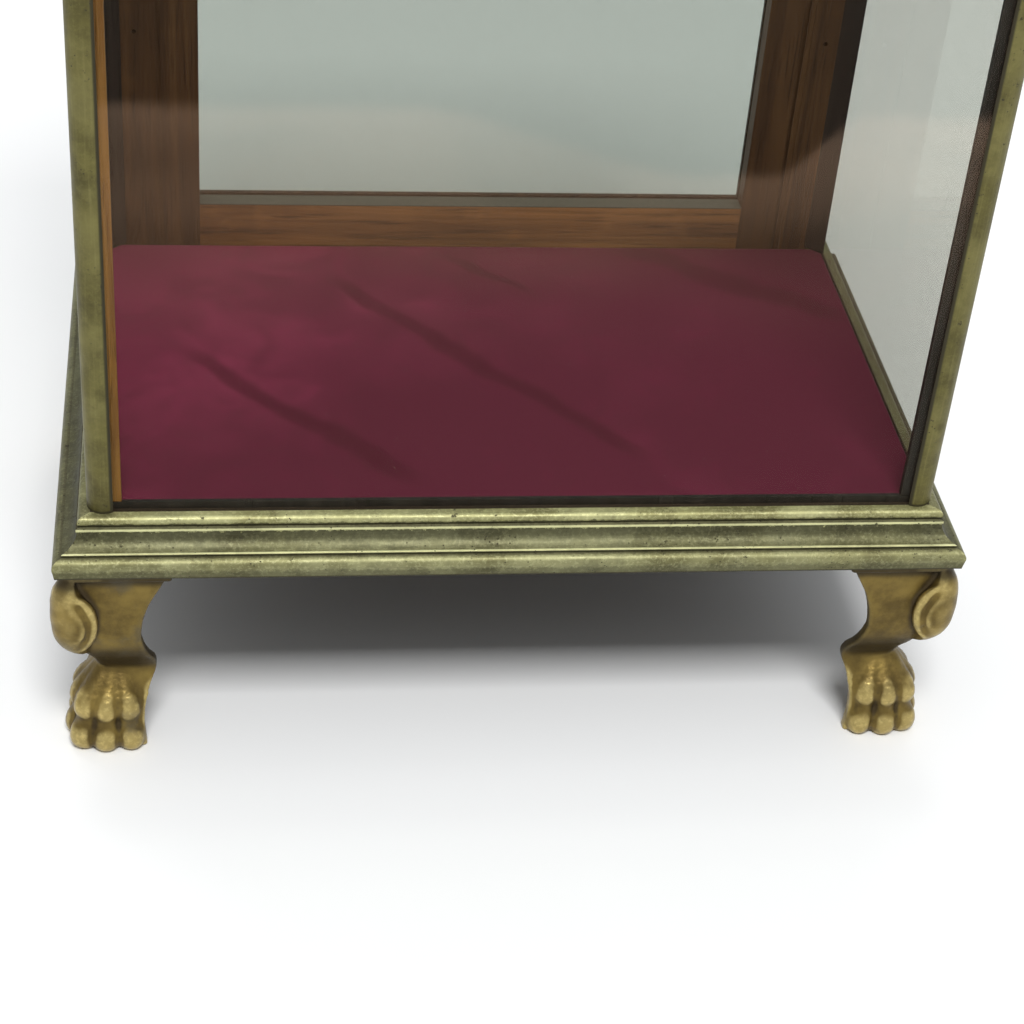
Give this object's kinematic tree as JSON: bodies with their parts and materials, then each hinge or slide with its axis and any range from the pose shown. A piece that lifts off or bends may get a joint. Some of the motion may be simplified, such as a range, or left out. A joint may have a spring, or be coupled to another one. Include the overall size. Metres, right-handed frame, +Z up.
{
  "type": "glazed counter-top display cabinet",
  "caption": "Brass-framed glazed display cabinet on lion-paw feet, with a velvet floor and a timber glazed door at the back.",
  "frame": {"origin": "on the ground under the middle of the case, at the height of the soles of the feet", "axes": "+Z up; -Y towards the front pane, +Y towards the door; +X to the right of someone facing the front"},
  "size_m": [0.4578, 0.3038, 0.6055],
  "materials": {
    "moulding_brass": "drawn brass, aged and dulled to an olive tone, brighter on its edges",
    "post_brass": "drawn brass, aged, satin",
    "fitting_brass": "rubbed brass",
    "stud_brass": "plain",
    "gilt_casting": "cast, gilt lacquer worn bright on the toes and dark in the hollows",
    "velvet": "burgundy velvet, short pile",
    "board_timber": "bare",
    "carcass_timber": "dark stained",
    "frame_timber": "dark stained, worn satin polish",
    "warm_timber": "worn through to warm timber",
    "ebonised_timber": "black stained",
    "clear_glass": "clear drawn glass"
  },
  "bodies": {
    "case": {"base_rail_front": "carcass_timber", "base_rail_back": "carcass_timber", "base_rail_left": "carcass_timber", "base_rail_right": "carcass_timber", "floor_panel": "carcass_timber", "base_moulding_front": "moulding_brass", "base_moulding_back": "moulding_brass", "base_moulding_left": "moulding_brass", "base_moulding_right": "moulding_brass", "floor_board": "board_timber", "velvet_cover": "velvet", "foot_front_left": "gilt_casting", "foot_front_right": "gilt_casting", "foot_back_left": "gilt_casting", "foot_back_right": "gilt_casting", "foot_studs": "stud_brass", "post_front_left": "post_brass", "post_front_right": "post_brass", "post_back_left": "post_brass", "post_back_right": "post_brass", "corner_strip_left": "warm_timber", "corner_strip_right": "ebonised_timber", "back_strip_left": "ebonised_timber", "back_strip_right": "ebonised_timber", "sill_strip": "ebonised_timber", "head_strips": "ebonised_timber", "pane_front": "clear_glass", "pane_left": "clear_glass", "pane_right": "clear_glass", "pane_top": "clear_glass", "top_rail_front": "carcass_timber", "top_rail_back": "carcass_timber", "top_rail_left": "carcass_timber", "top_rail_right": "carcass_timber", "cornice_front": "moulding_brass", "cornice_back": "moulding_brass", "cornice_left": "moulding_brass", "cornice_right": "moulding_brass", "rear_stile_left": "frame_timber", "rear_stile_right": "frame_timber", "rear_head": "frame_timber", "hinge_leaves_fixed": "fitting_brass", "hinge_pins": "fitting_brass", "hinge_screws_fixed": "fitting_brass"},
    "door": {"door_stile_hinge": "frame_timber", "door_stile_catch": "frame_timber", "door_rail_bottom": "frame_timber", "door_rail_top": "frame_timber", "door_pane": "clear_glass", "door_beads": "frame_timber", "hinge_leaves_door": "fitting_brass", "hinge_screws_door": "fitting_brass", "catch_rose": "fitting_brass"},
    "catch": {"catch_knob": "fitting_brass", "catch_tongue": "fitting_brass"}
  },
  "joints": [
    {"name": "door_hinge", "type": "hinge", "parent": "case", "child": "door", "pos_m": [-0.1791, 0.13475, 0.3526], "axis": [0, 0, 1], "range_deg": [0, 110]},
    {"name": "catch_turn", "type": "hinge", "parent": "door", "child": "catch", "pos_m": [0.1662, 0.132, 0.3526], "axis": [0, 1, 0], "range_deg": [0, 90]}
  ]
}
